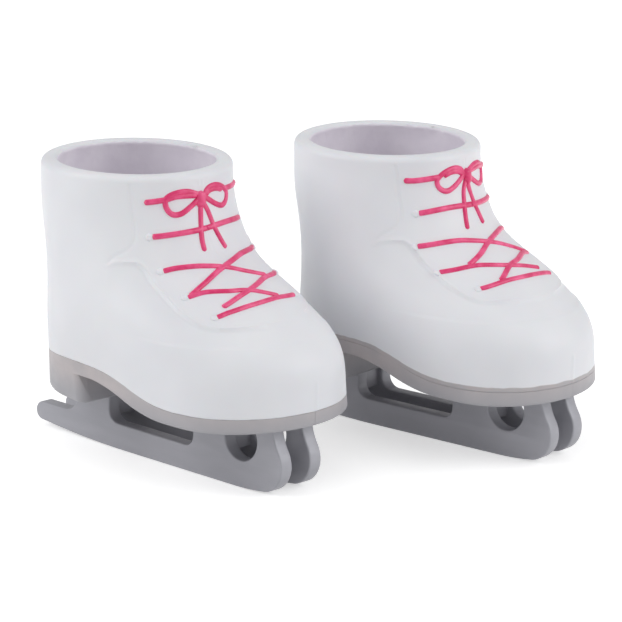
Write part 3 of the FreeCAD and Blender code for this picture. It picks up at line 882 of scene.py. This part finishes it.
finishes = {
    # noise is waves a millimetre and detail; spread is the part of it that is used
    "bootVinyl": {
        "shader": {"Specular IOR Level": 0.4, "Subsurface Weight": 0.08, "Subsurface Scale": 0.6 * mm},
        "colours": ((232, 233, 237), (226, 227, 232)),
        "clouds": (0.05, 2.0),
        "roughness": (0.36, 0.46),
        "uneven": (0.4, 3.0),
        "grain": (1.6, 3.0),
        "bump": (0.18, 0.03),
    },
    "cuffLining": {
        "shader": {"Specular IOR Level": 0.3},
        "colours": ((240, 235, 243), (230, 224, 234)),
        "clouds": (0.12, 3.0),
        "roughness": (0.5, 0.66),
        "uneven": (0.6, 3.0),
        "grain": (0.9, 4.0),
        "bump": (0.4, 0.12),
    },
    "bandPaint": {
        "shader": {"Specular IOR Level": 0.4},
        "colours": ((188, 181, 182), (166, 165, 170)),   # the warm paint, and the greyer one lower down
        "heights": (18.5, 14.0),   # from the warm one to the grey one
        "clouds": (0.25, 3.0),
        "cloudShare": 0.35,
        "roughness": (0.38, 0.52),
        "uneven": (0.5, 3.0),
        "grain": (1.2, 3.0),
        "bump": (0.22, 0.04),
    },
    "bladePlastic": {
        "shader": {"Specular IOR Level": 0.45, "Metallic": 0.15},
        "colours": ((172, 172, 179), (160, 160, 167)),
        "clouds": (0.12, 3.0, (0.35, 0.35, 1.6)),   # drawn out along the runner
        "roughness": (0.34, 0.46),
        "uneven": (0.6, 3.0),
        "grain": (1.0, 3.0),
        "bump": (0.2, 0.04),
    },
    "lacePaint": {
        "shader": {"Specular IOR Level": 0.5, "Coat Weight": 0.25, "Coat Roughness": 0.18},
        "colours": ((222, 36, 106), (243, 88, 142)),
        "clouds": (0.35, 3.0),
        "spread": (0.38, 0.66),
        "roughness": (0.3, 0.44),
        "uneven": (0.8, 2.0),
        "grain": (0.9, 2.0),
        "bump": (0.3, 0.08),
    },
    "zincSteel": {
        "shader": {"Metallic": 1.0},
        "colours": ((178, 180, 184), (160, 160, 158)),
        "clouds": (0.3, 2.0),
        "roughness": (0.28, 0.45),
        "uneven": (0.8, 3.0),
        "grain": (1.5, 2.0),
        "bump": (0.15, 0.03),
    },
}

footPaint = {
    # how far the band's paint runs up over each boot's foot
    "rise": {"right": 0.05, "left": 0.95},
    "wander": (0.22, 2.0),
    "wanderHeight": 0.12,
    "softness": 0.1,
}

cloudSpread = (0.35, 0.65)
fineSpread = (0.3, 0.7)


def noise(tree, scale, detail, stretch=None):
    # noise on the piece's own place
    place = node(tree, "ShaderNodeTexCoord").outputs["Object"]
    if stretch:
        place = node(tree, "ShaderNodeMapping", [("Vector", place), ("Scale", stretch)]).outputs[0]
    made = node(tree, "ShaderNodeTexNoise", [("Vector", place), ("Scale", scale / mm), ("Detail", detail)])
    return made.outputs["Fac"]


def ramp(tree, value, low, high, start, end):
    made = node(tree, "ShaderNodeMapRange", [
        ("Value", value), ("From Min", low), ("From Max", high), ("To Min", start), ("To Max", end)])
    return made.outputs[0]


def blendColours(tree, share, first, second):
    # the node's colour inputs are its seventh and eighth, and its colour output the third
    mixed = node(tree, "ShaderNodeMix", [("Factor", share), (6, first), (7, second)], data_type="RGBA")
    return mixed.outputs[2]


def cloudyColour(tree, look):
    spread = look.get("spread", cloudSpread)
    clouds = ramp(tree, noise(tree, *look["clouds"]), *spread, 0.0, 1.0)
    return blendColours(tree, clouds, *[linear(*colour) for colour in look["colours"]])


def bandColour(tree):
    # warm paint that turns greyer towards the ground
    look = finishes["bandPaint"]
    warm, grey = [linear(*colour) for colour in look["colours"]]
    place = node(tree, "ShaderNodeTexCoord").outputs["Object"]
    height = node(tree, "ShaderNodeSeparateXYZ", [(0, place)]).outputs[2]
    high, low = look["heights"]
    base = blendColours(tree, ramp(tree, height, high * mm, low * mm, 0.0, 1.0), warm, grey)
    clouds = ramp(tree, noise(tree, *look["clouds"]), *cloudSpread, 0.0, look["cloudShare"])
    return blendColours(tree, clouds, base, grey)


def newFinish(name, look, colourOf=None):
    # clouds of two colours, an uneven gloss and a fine grain
    material = bpy.data.materials.new(name)
    material.use_nodes = True
    tree = material.node_tree
    shader = tree.nodes["Principled BSDF"]
    for socket, value in look["shader"].items():
        shader.inputs[socket].default_value = value
    colour = colourOf(tree) if colourOf else cloudyColour(tree, look)
    tree.links.new(colour, shader.inputs["Base Color"])
    gloss = ramp(tree, noise(tree, *look["uneven"]), *fineSpread, *look["roughness"])
    tree.links.new(gloss, shader.inputs["Roughness"])
    strength, distance = look["bump"]
    bump = node(tree, "ShaderNodeBump", [
        ("Height", noise(tree, *look["grain"])), ("Strength", strength), ("Distance", distance * mm)])
    tree.links.new(bump.outputs[0], shader.inputs["Normal"])
    return material


def bootVinyl(side):
    look = finishes["bootVinyl"]

    def paintedFoot(tree):
        # the band's paint runs up over the boot's foot with a soft, uneven edge
        above = node(tree, "ShaderNodeAttribute", attribute_name="aboveBand").outputs["Fac"]
        reach, rise, soft = footPaint["wanderHeight"], footPaint["rise"][side], footPaint["softness"]
        wander = ramp(tree, noise(tree, *footPaint["wander"]), *fineSpread, -reach, reach)
        edge = worked(tree, "ADD", above, wander)
        painted = ramp(tree, edge, rise + soft, rise - soft, 0.0, 1.0)
        return blendColours(tree, painted, cloudyColour(tree, look), bandColour(tree))

    return newFinish(side + "BootVinyl", look, paintedFoot)


def placeAll():
    lining, plastic, paint, steel = [newFinish(name, finishes[name]) for name in (
        "cuffLining", "bladePlastic", "lacePaint", "zincSteel")]
    band = newFinish("bandPaint", finishes["bandPaint"], bandColour)
    vinyl = {side: bootVinyl(side) for side in sides}
    for boot, side in zip(stand(bootMesh, "boot", ["boot_shell"]), sides):
        boot.data.materials.append(vinyl[side])
        boot.data.materials.append(lining)
    for mesh, name, slot, nodes, finish in (
            (outsoleMesh, "sole", "sole_vinyl", ["outsole"], band),
            (bladeMesh, "blades", "blade_plastic", ["blade_frame"], plastic)):
        for piece in stand(mesh, name, nodes):
            piece.data.materials.append(finish)
    # a plain copy of the boot's wall, in millimetres, for the laces to lie on
    former = bpy.data.objects.new("bootFormer", bootMesh)
    scene.collection.objects.link(former)
    crosses, bow = makeLaces(former, paint)
    eyelets = makeEyelets(former, newFinish("eyeletVinyl", finishes["bootVinyl"]))
    bpy.data.objects.remove(former)
    stand(crosses, "lace_crosses", ["lacing_crosses"])
    stand(bow, "lace_bow", ["lacing_bow"])
    stand(eyelets, "eyelets")
    print("laces modelled:", len(crosses.polygons) + len(bow.polygons), "faces")
    for side in sides:
        for place in ("ball", "heel"):
            for fixing in ("washer", "screw"):
                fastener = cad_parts[side + "_" + place + "_" + fixing]
                fastener.data.materials.clear()
                fastener.data.materials.append(steel)


placeAll()
print("pieces placed on both skates")


stage = {
    "floorHalf": 3.0,
    "floorGlow": 0.5,   # share of the floor's white that the camera sees unshaded
    "skyLevel": 0.55,
    "paper": 0.86,
    "lamps": {
        # degrees round from the camera to its left, degrees up, distance, size, watts
        "leftBox": (74, 34, 1.0, 0.7, 3.6),
        "rightBox": (-80, 28, 1.0, 0.7, 3.4),
        "overhead": (0, 80, 1.1, 0.9, 0.7),
    },
}


def makeFloor():
    half = stage["floorHalf"]
    mesh = bpy.data.meshes.new("floor")
    corners = [(-half, -half, 0), (half, -half, 0), (half, half, 0), (-half, half, 0)]
    mesh.from_pydata(corners, [], [(0, 1, 2, 3)])
    floor = bpy.data.objects.new("floor", mesh)
    scene.collection.objects.link(floor)
    material = bpy.data.materials.new("whitePaper")
    material.use_nodes = True
    tree = material.node_tree
    tree.nodes.clear()
    path = node(tree, "ShaderNodeLightPath")
    seen = path.outputs["Is Camera Ray"]
    for ray in ("Is Glossy Ray", "Is Transmission Ray"):
        seen = worked(tree, "MAXIMUM", seen, path.outputs[ray])
    glow = worked(tree, "MULTIPLY", seen, stage["floorGlow"])
    paper = node(tree, "ShaderNodeBsdfDiffuse", [("Color", (stage["paper"],) * 3 + (1,))])
    lit = node(tree, "ShaderNodeEmission", [("Color", (1, 1, 1, 1)), ("Strength", glow)])
    both = node(tree, "ShaderNodeAddShader", [(0, paper.outputs[0]), (1, lit.outputs[0])])
    node(tree, "ShaderNodeOutputMaterial", [("Surface", both.outputs[0])])
    floor.data.materials.append(material)


def makeWorld():
    world = bpy.data.worlds.new("studio")
    world.use_nodes = True
    tree = world.node_tree
    tree.nodes.clear()
    seen = node(tree, "ShaderNodeLightPath").outputs["Is Camera Ray"]
    level = ramp(tree, seen, 0.0, 1.0, stage["skyLevel"], 1.0)
    sky = node(tree, "ShaderNodeBackground", [("Color", (1, 1, 1, 1)), ("Strength", level)])
    node(tree, "ShaderNodeOutputWorld", [("Surface", sky.outputs[0])])
    scene.world = world


def makeLamps():
    cameraTurn = math.radians(cameraView["azimuth"] - 90)
    for name, (left, up, distance, size, watts) in stage["lamps"].items():
        lamp = bpy.data.lights.new(name, "AREA")
        lamp.size, lamp.energy = size, watts
        turn, rise = cameraTurn - math.radians(left), math.radians(up)
        towards = (math.cos(turn) * math.cos(rise), math.sin(turn) * math.cos(rise), math.sin(rise))
        place = Vector(towards) * distance
        thing = bpy.data.objects.new(name, lamp)
        thing.matrix_world = Matrix.Translation(place) @ place.to_track_quat("Z", "Y").to_matrix().to_4x4()
        scene.collection.objects.link(thing)


makeFloor()
makeWorld()
makeLamps()
scene.view_settings.view_transform = "Standard"
print("stage lit")
